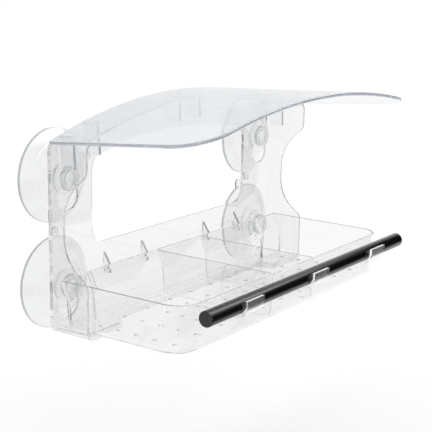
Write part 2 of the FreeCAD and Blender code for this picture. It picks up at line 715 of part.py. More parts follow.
def make_tray():
    """The clear seed tray."""
    body = new_body("seed_tray")
    wall = "dims.tray_wall"
    above = f"({RIM_HEIGHT} + {wall})"
    tray_section(body, "outside", "0", RIM_HEIGHT, "dims.tray_step", TRAY_HALF_WIDTH)
    tray_section(body, "middle_outside", "0", RIM_HEIGHT, "0", STEP_X)
    tray_section(body, "inside", wall, above, "dims.tray_step", f"({TRAY_HALF_WIDTH} - {wall})")
    tray_section(body, "middle_inside", wall, above, "0", f"({STEP_X} - {wall})")
    round_tray_corners(body, "inner_corners", wall, f"dims.tray_corner - {wall}")
    round_tray_bottom(body, "inner_bottom", wall, f"dims.tray_bottom_radius - {wall}")
    round_tray_corners(body, "outer_corners", "0", "dims.tray_corner")
    round_tray_bottom(body, "outer_bottom", "0", "dims.tray_bottom_radius")
    add_dividers(body)
    cut_drain_holes(body)
    add_cradles(body)
    return body


# Perch


def make_perch():
    """The black rod that lies in the cradles."""
    body = new_body("perch")
    sketch = new_sketch(body, "round_section", "YZ_Plane")
    draw_circle(sketch, PERCH_Y, PERCH_Z, "dims.perch_radius")
    rod = extrude(body, "Pad", "rod", sketch, f"2 * ({HALF_WIDTH} - dims.perch_inset)", symmetric=True)
    rims = [f"Edge{number}" for number, edge in enumerate(rod.Shape.Edges, start=1) if edge.isClosed()]
    chamfer = body.newObject("PartDesign::Chamfer", "end_chamfers")
    chamfer.Base = (rod, rims)
    chamfer.setExpression("Size", "dims.perch_chamfer")
    doc.recompute()
    return body


# Suction cups


def sphere_centre(first_radius, first_y, second_radius, second_y):
    """Where on the axis lies the centre of a sphere through two circles about that axis."""
    spread = f"({first_radius}^2 - {second_radius}^2)"
    return f"(({first_y} + {second_y}) / 2 + {spread} / (2 * ({first_y} - {second_y})))"


def cup_section(sketch):
    """Half of a cup's section: button, neck, hub, domed cup, sealing rim and hollow."""
    face = "(-dims.housing_wall - dims.cup_play - dims.button_thickness)"
    under_button = "(-dims.housing_wall - dims.cup_play)"
    edge = "dims.button_round"
    button_x = f"(dims.button_radius - {edge})"
    hub_front = "dims.cup_play"
    hub_back = "(dims.cup_play + dims.hub_thickness)"
    window = "dims.cup_standoff"
    rim_front = f"({window} - dims.cup_rim_thickness)"
    seal = "(dims.cup_radius - dims.cup_rim_width)"
    hollow = f"({window} - dims.cup_dish_depth)"
    dome_centre = sphere_centre("dims.cup_radius", rim_front, "dims.hub_radius", hub_back)
    dish_centre = sphere_centre(seal, window, "0", hollow)
    stretches = [
        line_to(button_x, face),
        arc_to("dims.button_radius", f"({face} + {edge})", (button_x, f"({face} + {edge})"), 1),
        line_to("dims.button_radius", under_button),
        line_to("dims.neck_radius", under_button),
        line_to("dims.neck_radius", hub_front),
        line_to("dims.hub_radius", hub_front),
        line_to("dims.hub_radius", hub_back),
        arc_to("dims.cup_radius", rim_front, ("0", dome_centre), 1),
        line_to("dims.cup_radius", window),
        line_to(seal, window),
        arc_to("0", hollow, ("0", dish_centre), -1),
        line_to("0", face),
    ]
    draw_outline(sketch, ("0", face), stretches)


def add_tab(body):
    """The pull tab at the top of a cup's rim."""
    half = "(dims.tab_width / 2)"
    root = "(dims.cup_radius - dims.cup_rim_width)"
    shoulder = f"(dims.cup_radius + dims.tab_length - {half})"
    plane = "-(dims.cup_standoff - dims.cup_rim_thickness)"
    sketch = new_sketch(body, "tab", "XZ_Plane", plane)
    stretches = [
        line_to(half, root),
        line_to(half, shoulder),
        arc_to(f"-{half}", shoulder, ("0", shoulder), 1),
        line_to(f"-{half}", root),
    ]
    draw_outline(sketch, (f"-{half}", root), stretches)
    extrude(body, "Pad", "tab_pad", sketch, "dims.tab_thickness", backwards=True)


def make_cup(label, side, height, tab_turn):
    """One suction cup about its own axis, turned by tab_turn degrees and moved to its keyhole."""
    body = new_body(label)
    body.Placement.Rotation = FreeCAD.Rotation(FreeCAD.Vector(0, 1, 0), tab_turn)
    body.setExpression(".Placement.Base.x", f"{side}{CUP_X}")
    body.setExpression(".Placement.Base.z", f"{height} - {CUP_MIDDLE}")
    sketch = new_sketch(body, "half_section", "XY_Plane")
    cup_section(sketch)
    turned = body.newObject("PartDesign::Revolution", "turned_cup")
    turned.Profile = sketch
    turned.ReferenceAxis = (sketch, ["V_Axis"])
    turned.Angle = 360
    doc.recompute()
    add_tab(body)
    return body


def make_cups():
    """The four cups. Each was pushed into its keyhole by hand, so each tab points its own way."""
    places = [
        ("suction_cup_upper_left", "-", "dims.upper_cup_height", 75),
        ("suction_cup_upper_right", "", "dims.upper_cup_height", 178),
        ("suction_cup_lower_left", "-", "dims.lower_cup_height", 2),
        ("suction_cup_lower_right", "", "dims.lower_cup_height", -15),
    ]
    return [make_cup(*place) for place in places]


def check_and_export(bodies):
    """Stop at any failed object or bad solid, then write one file for each piece."""
    doc.recompute()
    failed = [item.Name for item in doc.Objects if {"Invalid", "Error"} & set(item.State)]
    if failed:
        raise RuntimeError(f"failed objects: {failed}")
    for body in bodies:
        shape = body.Shape
        if shape.isNull() or not shape.isValid() or len(shape.Solids) != 1:
            raise RuntimeError(f"{body.Label} is not one valid solid")
    os.makedirs("parts", exist_ok=True)
    for body in bodies:
        body.Shape.exportStep(f"parts/{body.Label}.step")
        box = body.Shape.BoundBox
        print(f"{body.Label}: {box.XLength:.1f} x {box.YLength:.1f} x {box.ZLength:.1f} mm,"
              f" {body.Shape.Volume / 1000:.1f} cm3")


def main():
    """Build every piece and write the files."""
    bodies = [make_housing(), make_roof(), make_tray(), make_perch()]
    bodies += make_cups()
    check_and_export(bodies)


main()
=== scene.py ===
"""Looks of a clear window bird feeder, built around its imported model. Metres, in the model's own frame.

The window plane is Y = 0 and +Y points into the window. The housing, roof and seed tray are clear
mouldings, the perch is a black rod, and four soft cups hold everything on the window.
"""

import math

import bmesh
import bpy
from bpy.props import FloatProperty, FloatVectorProperty, IntProperty, PointerProperty
from mathutils import Matrix, Vector
from mathutils.bvhtree import BVHTree


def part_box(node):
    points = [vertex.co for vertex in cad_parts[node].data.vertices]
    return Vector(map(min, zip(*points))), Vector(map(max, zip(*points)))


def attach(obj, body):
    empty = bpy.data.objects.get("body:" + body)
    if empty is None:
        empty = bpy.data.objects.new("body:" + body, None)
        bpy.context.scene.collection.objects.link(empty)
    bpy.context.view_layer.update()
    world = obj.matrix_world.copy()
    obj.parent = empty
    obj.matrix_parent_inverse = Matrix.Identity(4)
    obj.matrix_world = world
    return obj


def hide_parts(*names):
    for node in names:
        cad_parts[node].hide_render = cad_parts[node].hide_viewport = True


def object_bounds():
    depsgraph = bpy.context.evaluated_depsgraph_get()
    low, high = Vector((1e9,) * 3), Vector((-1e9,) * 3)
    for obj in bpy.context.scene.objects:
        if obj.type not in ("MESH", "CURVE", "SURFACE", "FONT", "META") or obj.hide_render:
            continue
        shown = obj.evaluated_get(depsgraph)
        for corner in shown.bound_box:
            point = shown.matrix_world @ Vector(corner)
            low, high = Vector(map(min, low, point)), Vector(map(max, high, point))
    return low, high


bl_info = {
    "name": "Window bird feeder",
    "version": (1, 0, 0),
    "blender": (4, 5, 0),
    "location": "View3D > Sidebar > Feeder",
    "description": "Dresses the packed model of a clear window bird feeder",
    "category": "Object",
}

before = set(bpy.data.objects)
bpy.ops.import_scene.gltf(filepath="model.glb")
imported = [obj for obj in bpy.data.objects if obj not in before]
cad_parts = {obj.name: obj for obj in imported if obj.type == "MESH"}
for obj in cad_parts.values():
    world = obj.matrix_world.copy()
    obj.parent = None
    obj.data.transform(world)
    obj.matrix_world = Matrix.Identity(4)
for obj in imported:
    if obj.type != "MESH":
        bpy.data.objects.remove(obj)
CAD_BOX = [list(corner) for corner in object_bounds()]

# Degrees by which each cup is turned about its axis, so that its pull tab points as it was pushed in.
CUP_TURNS = {
    "suction_cup_upper_left": 75,
    "suction_cup_upper_right": 178,
    "suction_cup_lower_left": 2,
    "suction_cup_lower_right": -15,
}
CUP_NODES = tuple(CUP_TURNS)

WHITE = (1, 1, 1, 1)

# Most values of a noise texture lie between these two.
NOISE_LOW = 0.3
NOISE_HIGH = 0.7


# Settings


def linear(hex_colour):
    """An sRGB hex colour as linear red, green and blue."""
    channels = [int(hex_colour[start:start + 2], 16) / 255 for start in (1, 3, 5)]
    return tuple(c / 12.92 if c <= 0.04045 else ((c + 0.055) / 1.055) ** 2.4 for c in channels)


def colour_property(name, description, hex_colour):
    """A colour that a user may change, given as sRGB hex."""
    return FloatVectorProperty(name=name, description=description, subtype="COLOR", size=3, min=0, max=1,
                               default=linear(hex_colour))


def length_property(name, description, default):
    """A length in metres that a user may change."""
    return FloatProperty(name=name, description=description, default=default, unit="LENGTH", precision=5)


def level_property(name, description, default):
    """A strength of light that a user may change."""
    return FloatProperty(name=name, description=description, default=default, min=0)


class ClearPlasticSettings(bpy.types.PropertyGroup):
    """Colours and surface of the clear mouldings."""

    housing_tint: colour_property("Housing", "Light that one housing wall lets through", "#f5f5f5")
    roof_tint: colour_property("Roof", "Light that the roof lets through", "#f6f7f9")
    tray_tint: colour_property("Tray", "Light that one tray wall lets through", "#f9f9f9")
    # Rim colours: partly light lost on its long way through thick plastic, partly painted shade for the
    # dark outlines of clear edges.
    housing_rim_and_shade: colour_property("Housing rim", "Light that comes the long way through a wall", "#7d858c")
    roof_rim_and_shade: colour_property("Roof rim", "Light that comes the long way through the roof", "#b0b8c0")
    tray_rim_and_shade: colour_property("Tray rim", "Light that comes the long way through the tray", "#5f676f")
    roof_fill: colour_property("Roof fill", "Colour of the light that the roof scatters", "#d4dade")
    cradle_reach: length_property("Cradle reach", "How far a perch cradle stands out from the tray", 0.0220)
    ripple: length_property("Ripple", "Width of the faint waves that moulding leaves", 0.030)
    haze: length_property("Haze", "Width of the patches of slightly duller polish", 0.012)
    roof_milk: FloatProperty(name="Roof milkiness", description="Share of light that the roof scatters",
                             default=0.3, min=0, max=1, subtype="FACTOR")


class CupSettings(bpy.types.PropertyGroup):
    """Sizes and colours of the suction cups."""

    rim_radius: length_property("Rim radius", "Radius of a cup", 0.036)
    rim_thickness: length_property("Rim thickness", "Thickness of a cup at its rim", 0.0018)
    seal_width: length_property("Seal width", "Width of the flat sealing rim", 0.0025)
    dish_depth: length_property("Dish depth", "Depth of a cup's hollow", 0.0065)
    hub_radius: length_property("Hub radius", "Radius of the hub behind the back panel", 0.0125)
    hub_height: length_property("Hub height", "Height of the hub's straight wall", 0.0024)
    neck_radius: length_property("Neck radius", "Radius of the neck through the back panel", 0.0048)
    panel_gap: length_property("Panel gap", "Gap between the hub and the back panel", 0.0005)
    button_radius: length_property("Button radius", "Radius of the button before the back panel", 0.0095)
    button_height: length_property("Button height", "Height of the button", 0.004)
    button_round: length_property("Button rounding", "Radius of the button's outer edge", 0.0014)
    ring_height: length_property("Ring height", "Height of the moulded rings on a cup's dome", 0.0004)
    ring_width: length_property("Ring width", "Half the width of a moulded ring", 0.0006)
    tab_length: length_property("Tab length", "How far a pull tab stands out", 0.0075)
    tab_thickness: length_property("Tab thickness", "Thickness of a pull tab", 0.0014)
    segments: IntProperty(name="Segments", description="Faces round a cup", default=64, min=16)
    tint: colour_property("Tint", "Light that a cup lets through", "#f0f1f1")
    # The rim tint is partly light lost in thick vinyl and partly painted shade for the cups' dark outlines.
    rim_colour_and_shade: colour_property("Rim tint", "Light that comes the long way through a cup", "#aeb4b8")


class PerchSettings(bpy.types.PropertyGroup):
    """Sizes and colours of the perch."""

    end_round: length_property("End rounding", "Radius of the perch's end edges", 0.0007)
    segments: IntProperty(name="Segments", description="Faces round the perch", default=64, min=16)
    colour: colour_property("Colour", "Main colour of the perch", "#07080a")
    worn_colour: colour_property("Dull patches", "Colour of slightly duller patches", "#0c0d10")
    cut_colour: colour_property("Cut ends", "Colour of the sawn ends", "#101114")


class StageSettings(bpy.types.PropertyGroup):
    """Floor, light, what glossy faces mirror, and camera."""

    floor_drop: length_property("Floor drop", "Distance of the floor below the feeder", 0.15)
    floor_size: length_property("Floor size", "Width of the floor", 60.0)
    floor_colour: colour_property("Floor", "Colour of the floor", "#f6f6f6")
    floor_glow: level_property("Floor glow", "Strength of the floor's own glow where it is seen", 0.15)
    card_colour: colour_property("Card", "Colour of the black cards", "#1c1c1e")
    card_near: length_property("Card edge", "Where the black card on the floor begins, in front", -0.28)
    card_fade: length_property("Card fade", "Width of the low black card's faded edges", 0.2)
    tall_fade: length_property("Tall card fade", "Width of the tall black card's faded edges", 0.5)
    panel_height: length_property("Panel height", "Height of the bright panel above", 0.365)
    panel_front: length_property("Panel front", "Front edge of the bright panel", -0.48)
    panel_back: length_property("Panel back", "Back edge of the bright panel", -0.04)
    panel_right: length_property("Panel right", "Right edge of the bright panel", 0.625)
    panel_fade: length_property("Panel fade", "Width of the bright panel's faded edges", 0.1)
    panel_level: level_property("Panel level", "Strength of the bright panel", 3.7)
    light_level: level_property("Light level", "Strength of the white surroundings", 0.92)
    camera_lens: FloatProperty(name="Lens", description="Focal length of the camera", default=97.2,
                               subtype="DISTANCE_CAMERA")


class FeederSettings(bpy.types.PropertyGroup):
    """Everything that a user may change."""

    plastic: PointerProperty(type=ClearPlasticSettings)
    cups: PointerProperty(type=CupSettings)
    perch: PointerProperty(type=PerchSettings)
    stage: PointerProperty(type=StageSettings)


# Materials


def add_node(tree, kind, settings=None, inputs=None):
    """Add a node with its settings, and set or link its inputs."""
    node = tree.nodes.new(kind)
    for name, value in (settings or {}).items():
        setattr(node, name, value)
    for key, value in (inputs or {}).items():
        if isinstance(value, bpy.types.NodeSocket):
            tree.links.new(value, node.inputs[key])
        else:
            node.inputs[key].default_value = value
    return node


def new_material(name):
    """An empty node material and its tree."""
    material = bpy.data.materials.new(name)
    material.use_nodes = True
    material.node_tree.nodes.clear()
    return material, material.node_tree


def opaque(colour):
    """A colour with full alpha."""
    return (*colour, 1.0)


def clear_polycarbonate_moulded(node, tint, rim_colour_and_shade, milk, settings):
    """Clear polycarbonate, injection moulded and glossy.

    The walls are nearly invisible. The eye finds them by their rims, whose grey is partly the light lost on
    its long way through the sheet and partly painted shade for the dark outlines of clear edges, and by
    faint waves and duller patches left by the mould.
    A moulding that shows a pale, milky fill besides has a share of milkiness.
    """
    material, tree = new_material(f"clear_polycarbonate_moulded_{node}")
    place = add_node(tree, "ShaderNodeTexCoord").outputs["Object"]
    # Thick parts take the rim colour: partly light lost in the plastic, partly painted shade.
    rim = add_node(tree, "ShaderNodeAttribute", {"attribute_name": "rim"}).outputs["Fac"]
    colour = add_node(tree, "ShaderNodeMix", {"data_type": "RGBA"},
                      {0: rim, 6: opaque(tint), 7: opaque(rim_colour_and_shade)})
    patches = add_node(tree, "ShaderNodeTexNoise", {},
                       {"Vector": place, "Scale": 1 / settings.haze, "Detail": 3})
    roughness = add_node(tree, "ShaderNodeMapRange", {},
                         {"Value": patches.outputs["Fac"], "From Min": NOISE_LOW, "From Max": NOISE_HIGH,
                          "To Min": 0.015, "To Max": 0.05})
    waves = add_node(tree, "ShaderNodeTexNoise", {},
                     {"Vector": place, "Scale": 1 / settings.ripple, "Detail": 1})
    bump = add_node(tree, "ShaderNodeBump", {},
                    {"Height": waves.outputs["Fac"], "Strength": 0.06, "Distance": 0.001})
    plastic = add_node(tree, "ShaderNodeBsdfPrincipled", {},
                       {"Base Color": colour.outputs[2], "Roughness": roughness.outputs["Result"],
                        "Normal": bump.outputs["Normal"], "IOR": 1.53, "Transmission Weight": 1.0})
    if milk > 0:
        plastic = milky_skin(tree, plastic, settings.roof_fill)
    finish_clear(tree, plastic, tint)
    return material


def milky_skin(tree, plastic, colour):
    """Let the broad outer faces of a clear plastic scatter a little light, as a thin sheet does."""
    share = add_node(tree, "ShaderNodeAttribute", {"attribute_name": "milk"}).outputs["Fac"]
    scattered = add_node(tree, "ShaderNodeBsdfDiffuse", {}, {"Color": opaque(colour)})
    outside = add_node(tree, "ShaderNodeMixShader", {},
                       {0: share, 1: plastic.outputs[0], 2: scattered.outputs[0]})
    # Light that runs inside the sheet meets the same faces from within and stays clear.
    within = add_node(tree, "ShaderNodeNewGeometry").outputs["Backfacing"]
    return add_node(tree, "ShaderNodeMixShader", {},
                    {0: within, 1: outside.outputs[0], 2: plastic.outputs[0]})


def finish_clear(tree, plastic, tint):
    """Let a clear plastic cast only the pale shadow of its tint."""
    shadow = add_node(tree, "ShaderNodeLightPath").outputs["Is Shadow Ray"]
    passing = add_node(tree, "ShaderNodeBsdfTransparent", {}, {"Color": opaque(tint)})
    mixed = add_node(tree, "ShaderNodeMixShader", {},
                     {0: shadow, 1: plastic.outputs[0], 2: passing.outputs[0]})
    add_node(tree, "ShaderNodeOutputMaterial", {}, {"Surface": mixed.outputs[0]})


def clear_vinyl_moulded(settings):
    """Clear soft vinyl, moulded: a little duller than the hard plastic, with a waxy uneven surface."""
    material, tree = new_material("clear_soft_vinyl_moulded")
    place = add_node(tree, "ShaderNodeTexCoord").outputs["Object"]
    # Thick parts take the rim colour: partly light lost in the vinyl, partly painted shade.
    rim = add_node(tree, "ShaderNodeAttribute", {"attribute_name": "rim"}).outputs["Fac"]
    colour = add_node(tree, "ShaderNodeMix", {"data_type": "RGBA"},
                      {0: rim, 6: opaque(settings.tint), 7: opaque(settings.rim_colour_and_shade)})
    # The waxy unevenness of a soft skin is about 6 mm wide.
    wax_width = 0.006
    skin = add_node(tree, "ShaderNodeTexNoise", {}, {"Vector": place, "Scale": 1 / wax_width, "Detail": 2})
    roughness = add_node(tree, "ShaderNodeMapRange", {},
                         {"Value": skin.outputs["Fac"], "From Min": NOISE_LOW, "From Max": NOISE_HIGH,
                          "To Min": 0.05, "To Max": 0.12})
    bump = add_node(tree, "ShaderNodeBump", {},
                    {"Height": skin.outputs["Fac"], "Strength": 0.05, "Distance": 0.0005})
    vinyl = add_node(tree, "ShaderNodeBsdfPrincipled", {},
                     {"Base Color": colour.outputs[2], "Roughness": roughness.outputs["Result"],
                      "Normal": bump.outputs["Normal"], "IOR": 1.52, "Transmission Weight": 1.0})
    finish_clear(tree, vinyl, settings.tint)
    return material


def black_plastic_extruded(settings):
    """Black plastic rod, extruded: glossy, with faint draw lines along it and duller, greyer sawn ends."""
    material, tree = new_material("black_plastic_extruded")
    place = add_node(tree, "ShaderNodeTexCoord").outputs["Object"]
    # Draw lines are stretched along the rod: 80 mm long and about 1 mm wide.
    line_length = 0.080
    line_width = 0.001
    along = add_node(tree, "ShaderNodeMapping", {},
                     {"Vector": place, "Scale": (1 / line_length, 1 / line_width, 1 / line_width)})
    lines = add_node(tree, "ShaderNodeTexNoise", {},
                     {"Vector": along.outputs[0], "Scale": 1.0, "Detail": 2})
    # The real grain is near 0.1 mm. It is drawn at 0.6 mm so that it shows.
    grain_width = 0.0006
    grain = add_node(tree, "ShaderNodeTexNoise", {},
                     {"Vector": place, "Scale": 1 / grain_width, "Detail": 2})
    # Handling leaves duller patches, about 20 mm wide.
    patch_width = 0.020
    patches = add_node(tree, "ShaderNodeTexNoise", {},
                       {"Vector": place, "Scale": 1 / patch_width, "Detail": 3})
    skin = add_node(tree, "ShaderNodeMix", {"data_type": "RGBA"},
                    {0: patches.outputs["Fac"], 6: opaque(settings.colour),
                     7: opaque(settings.worn_colour)})
    cut = add_node(tree, "ShaderNodeAttribute", {"attribute_name": "cut_end"}).outputs["Fac"]
    colour = add_node(tree, "ShaderNodeMix", {"data_type": "RGBA"},
                      {0: cut, 6: skin.outputs[2], 7: opaque(settings.cut_colour)})
    sheen = add_node(tree, "ShaderNodeMapRange", {},
                     {"Value": lines.outputs["Fac"], "From Min": NOISE_LOW, "From Max": NOISE_HIGH,
                      "To Min": 0.16, "To Max": 0.24})
    sawn_roughness = 0.3
    roughness = add_node(tree, "ShaderNodeMath", {"operation": "MULTIPLY_ADD"},
                         {0: cut, 1: sawn_roughness, 2: sheen.outputs["Result"]})
    bump = add_node(tree, "ShaderNodeBump", {},
                    {"Height": grain.outputs["Fac"], "Strength": 0.04, "Distance": 0.0001})
    rod = add_node(tree, "ShaderNodeBsdfPrincipled", {},
                   {"Base Color": colour.outputs[2], "Roughness": roughness.outputs[0],
                    "Normal": bump.outputs["Normal"], "IOR": 1.5})
    add_node(tree, "ShaderNodeOutputMaterial", {}, {"Surface": rod.outputs[0]})
    return material


def seen_rays(tree):
    """1 for light that is seen straight, in a mirror or through something clear, and otherwise 0."""
    path = add_node(tree, "ShaderNodeLightPath")
    direct = add_node(tree, "ShaderNodeMath", {"operation": "MAXIMUM"},
                      {0: path.outputs["Is Camera Ray"], 1: path.outputs["Is Glossy Ray"]})
    seen = add_node(tree, "ShaderNodeMath", {"operation": "MAXIMUM"},
                    {0: direct.outputs[0], 1: path.outputs["Is Transmission Ray"]})
    return seen.outputs[0]


def matt_white_floor(settings):
    """Matt white board: it keeps the shadow, and its own faint glow brings it up to white."""
    material, tree = new_material("matt_white_board")
    strength = add_node(tree, "ShaderNodeMath", {"operation": "MULTIPLY"},
                        {0: seen_rays(tree), 1: settings.floor_glow})
    board = add_node(tree, "ShaderNodeBsdfDiffuse", {}, {"Color": opaque(settings.floor_colour)})
    glow = add_node(tree, "ShaderNodeEmission", {}, {"Color": WHITE, "Strength": strength.outputs[0]})
    both = add_node(tree, "ShaderNodeAddShader", {}, {0: board.outputs[0], 1: glow.outputs[0]})
    add_node(tree, "ShaderNodeOutputMaterial", {}, {"Surface": both.outputs[0]})
    return material


def faded(tree, surface):
    """A sheet's surface, clear towards its edges by the share of cover that its points carry."""
    cover = add_node(tree, "ShaderNodeAttribute", {"attribute_name": "cover"})
    clear = add_node(tree, "ShaderNodeBsdfTransparent")
    return add_node(tree, "ShaderNodeMixShader", {},
                    {0: cover.outputs["Fac"], 1: clear.outputs[0], 2: surface.outputs[0]})


def matt_black_card(settings):
    """Matt black card, dyed through. Glossy faces that mirror it look dark."""
    material, tree = new_material("matt_black_card")
    board = add_node(tree, "ShaderNodeBsdfDiffuse", {}, {"Color": opaque(settings.card_colour)})
    add_node(tree, "ShaderNodeOutputMaterial", {}, {"Surface": faded(tree, board).outputs[0]})
    return material


def lit_panel(settings):
    """White cloth over a lamp, evenly lit. Glossy faces that mirror it look bright."""
    material, tree = new_material("lit_white_cloth")
    glow = add_node(tree, "ShaderNodeEmission", {}, {"Color": WHITE, "Strength": settings.panel_level})
    add_node(tree, "ShaderNodeOutputMaterial", {}, {"Surface": faded(tree, glow).outputs[0]})
    # The panel is no lamp for the scene: only mirrored light finds it.
    material.cycles.emission_sampling = "NONE"
    return material


# Shapes


def new_piece(name, mesh, material):
    """A new object in the scene with one material."""
    piece = bpy.data.objects.new(name, mesh)
    bpy.context.scene.collection.objects.link(piece)
    mesh.materials.clear()
    mesh.materials.append(material)
    return piece


def place_piece(piece, body, slot, *nodes):
    """Let a piece ride on a body and stand for its CAD nodes. The slot is not used."""
    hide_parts(*nodes)
    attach(piece, body)


def joined_copy(node, name):
    """A copy of a CAD mesh whose loose triangles share their corners, with its own smooth normals."""
    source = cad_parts[node].data
    # Corners that agree to a thousandth of a millimetre are one point.
    steps_per_metre = 1e6
    number_at = {}
    points = []
    numbers = []
    for vertex in source.vertices:
        key = tuple(round(value * steps_per_metre) for value in vertex.co)
        if key not in number_at:
            number_at[key] = len(points)
            points.append(vertex.co.copy())
        numbers.append(number_at[key])
    faces = []
    normals = []
    for polygon in source.polygons:
        corners = [numbers[vertex] for vertex in polygon.vertices]
        if len(set(corners)) == len(corners):
            faces.append(corners)
            normals += [source.corner_normals[loop].vector.copy() for loop in polygon.loop_indices]
    mesh = bpy.data.meshes.new(name)
    mesh.from_pydata(points, [], faces, shade_flat=False)
    mesh.normals_split_custom_set(normals)
    return mesh


def mark_rims(mesh, thin, thick):
    """Give each face a rim value: 0 where the plastic behind it is thin, 1 where it is thick."""
    points = [vertex.co for vertex in mesh.vertices]
    tree = BVHTree.FromPolygons(points, [list(polygon.vertices) for polygon in mesh.polygons])
    # The depth is taken at a face's middle and near its corners, from just below its surface.
    way_to_corner = 0.8
    start_depth = 1e-5
    values = []
    for polygon in mesh.polygons:
        inward = -polygon.normal
        spots = [polygon.center.lerp(points[vertex], way_to_corner) for vertex in polygon.vertices]
        depths = []
        for spot in [polygon.center, *spots]:
            distance = tree.ray_cast(spot + inward * start_depth, inward)[3]
            depths.append(distance or 0.0)
        share = (min(depths) - thin) / (thick - thin)
        values.append(max(0.0, min(1.0, share)))
    rim = mesh.attributes.new("rim", "FLOAT", "FACE")
    rim.data.foreach_set("value", values)


def rework_rims(mesh, chosen, share, least=0.0):
    """Scale the rim value of the chosen faces, but leave each its least value."""
    rim = mesh.attributes["rim"]
    for face in mesh.polygons:
        if chosen(face):
            rim.data[face.index].value = max(least, share * rim.data[face.index].value)


def mark_milk(mesh, share):
    """Give the faces that look up a share of milkiness, and those that look down a little of it."""
    broad = 0.6
    lower_share = 0.2 * share
    milk = mesh.attributes.new("milk", "FLOAT", "FACE")
    for face in mesh.polygons:
        if face.normal.z > broad:
            milk.data[face.index].value = share
        elif face.normal.z < -broad:
            milk.data[face.index].value = lower_share


def turned(shape, profile, segments, at):
    """Turn a profile of radius and height about an axis. Gives a ring of vertices for each point."""
    on_axis = 1e-9
    angles = [2 * math.pi * number / segments for number in range(segments)]
    rings = []
    for radius, height in profile:
        if radius < on_axis:
            spots = [(0.0, 0.0)]
        else:
            spots = [(radius * math.sin(angle), radius * math.cos(angle)) for angle in angles]
        rings.append([shape.verts.new(at(side, up, height)) for side, up in spots])
    for first, second in zip(rings, rings[1:]):
        for number in range(segments):
            following = (number + 1) % segments
            corners = [first[number % len(first)], first[following % len(first)],
                       second[following % len(second)], second[number % len(second)]]
            shape.faces.new(list(dict.fromkeys(corners)))
    return rings


def finished_mesh(shape, name, sharp_angle):
    """A mesh with outward faces, smooth but for edges sharper than an angle in degrees."""
    bmesh.ops.recalc_face_normals(shape, faces=shape.faces)
    mesh = bpy.data.meshes.new(name)
    shape.to_mesh(mesh)
    shape.free()
    mesh.shade_smooth()
    mesh.set_sharp_from_angle(angle=math.radians(sharp_angle))
    return mesh


def arc_points(centre, radius, first, last, count):
    """Points on an arc in a profile, angles in degrees."""
    points = []
    for number in range(count + 1):
        angle = math.radians(first + (last - first) * number / count)
        points.append((centre[0] + radius * math.cos(angle), centre[1] + radius * math.sin(angle)))
    return points


# Clear mouldings


def make_moulding(name, node, body, tint, rim_colour_and_shade, thin, thick, milk=0.0):
    """A clear moulding: its CAD shape, joined, with its rims and its milky faces marked."""
    settings = bpy.context.scene.feeder.plastic
    mesh = joined_copy(node, name)
    mark_rims(mesh, thin, thick)
    if milk > 0:
        mark_milk(mesh, milk)
    material = clear_polycarbonate_moulded(node, tint, rim_colour_and_shade, milk, settings)
    piece = new_piece(name, mesh, material)
    place_piece(piece, body, "clear_plastic", node)
    return piece


def match_housing_rim_shade(mesh):
    """Make the painted rim shade of the base ledge paler, and paint the front faces of the fins dark as
    shade, darker than the others.
    """
    ledge_height = 0.006
    panel_depth = 0.003
    fins_reach = 0.1
    fins_top = 0.0
    forward = -0.3
    low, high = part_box("housing")
    ledge_top = low.z + ledge_height
    panel_front = high.y - panel_depth

    def on_ledge(face):
        return face.center.z < ledge_top and face.normal.y < forward

    def on_fins(face):
        before = abs(face.center.x) < fins_reach and face.center.y < panel_front
        return before and ledge_top < face.center.z < fins_top and face.normal.y < forward

    # Painted shade: rims outside the fins keep 0.65 of their colour, and the ledge's front rims 0.3 of it.
    rework_rims(mesh, lambda face: not on_fins(face), share=0.65)
    rework_rims(mesh, on_ledge, share=0.3)
    # The fins' front faces get the full rim colour: painted shade on the fins' front faces.
    rework_rims(mesh, on_fins, share=1.0, least=1.0)


class MakeHousing(bpy.types.Operator):
    """Make the clear housing with its window, keyholes, fins and top plate"""

    bl_idname = "feeder.make_housing"
    bl_label = "Make housing"

    def execute(self, context):
        plastic = context.scene.feeder.plastic
        piece = make_moulding("housing_moulding", "housing", "housing", plastic.housing_tint,
                              plastic.housing_rim_and_shade, thin=0.0054, thick=0.0090)
        match_housing_rim_shade(piece.data)
        return {"FINISHED"}


class MakeRoof(bpy.types.Operator):
    """Make the clear arched roof with its six legs"""

    bl_idname = "feeder.make_roof"
    bl_label = "Make roof"

    def execute(self, context):
        plastic = context.scene.feeder.plastic
        make_moulding("roof_moulding", "roof", "roof", plastic.roof_tint, plastic.roof_rim_and_shade,
                      thin=0.0029, thick=0.0045, milk=plastic.roof_milk)
        return {"FINISHED"}


def in_drain_holes(mesh, margin):
    """A test for the walls of the drain holes: upright faces well inside the lowest face's outline."""
    flat = 1e-4
    upright = 0.3
    lowest = min(vertex.co.z for vertex in mesh.vertices)
    bottom = [vertex.co for vertex in mesh.vertices if vertex.co.z < lowest + flat]
    side = max(point.x for point in bottom) - margin
    front = min(point.y for point in bottom) + margin
    back = max(point.y for point in bottom) - margin
    top = lowest + margin

    def chosen(face):
        inside = abs(face.center.x) < side and front < face.center.y < back
        return inside and face.center.z < top and abs(face.normal.z) < upright

    return chosen


class MakeTray(bpy.types.Operator):
    """Make the clear seed tray with its dividers, drain holes and perch cradles"""

    bl_idname = "feeder.make_tray"
    bl_label = "Make seed tray"

    def execute(self, context):
        plastic = context.scene.feeder.plastic
        piece = make_moulding("tray_moulding", "seed_tray", "tray", plastic.tray_tint, plastic.tray_rim_and_shade,
                              thin=0.0032, thick=0.0060)
        # The cradles lose the painted rim shade, and the drain holes' walls keep only a little of it.
        cradles_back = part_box("seed_tray")[0].y + plastic.cradle_reach
        rework_rims(piece.data, lambda face: face.center.y < cradles_back, share=0.0)
        rework_rims(piece.data, in_drain_holes(piece.data, margin=0.004), share=0.12)
        return {"FINISHED"}


# Perch


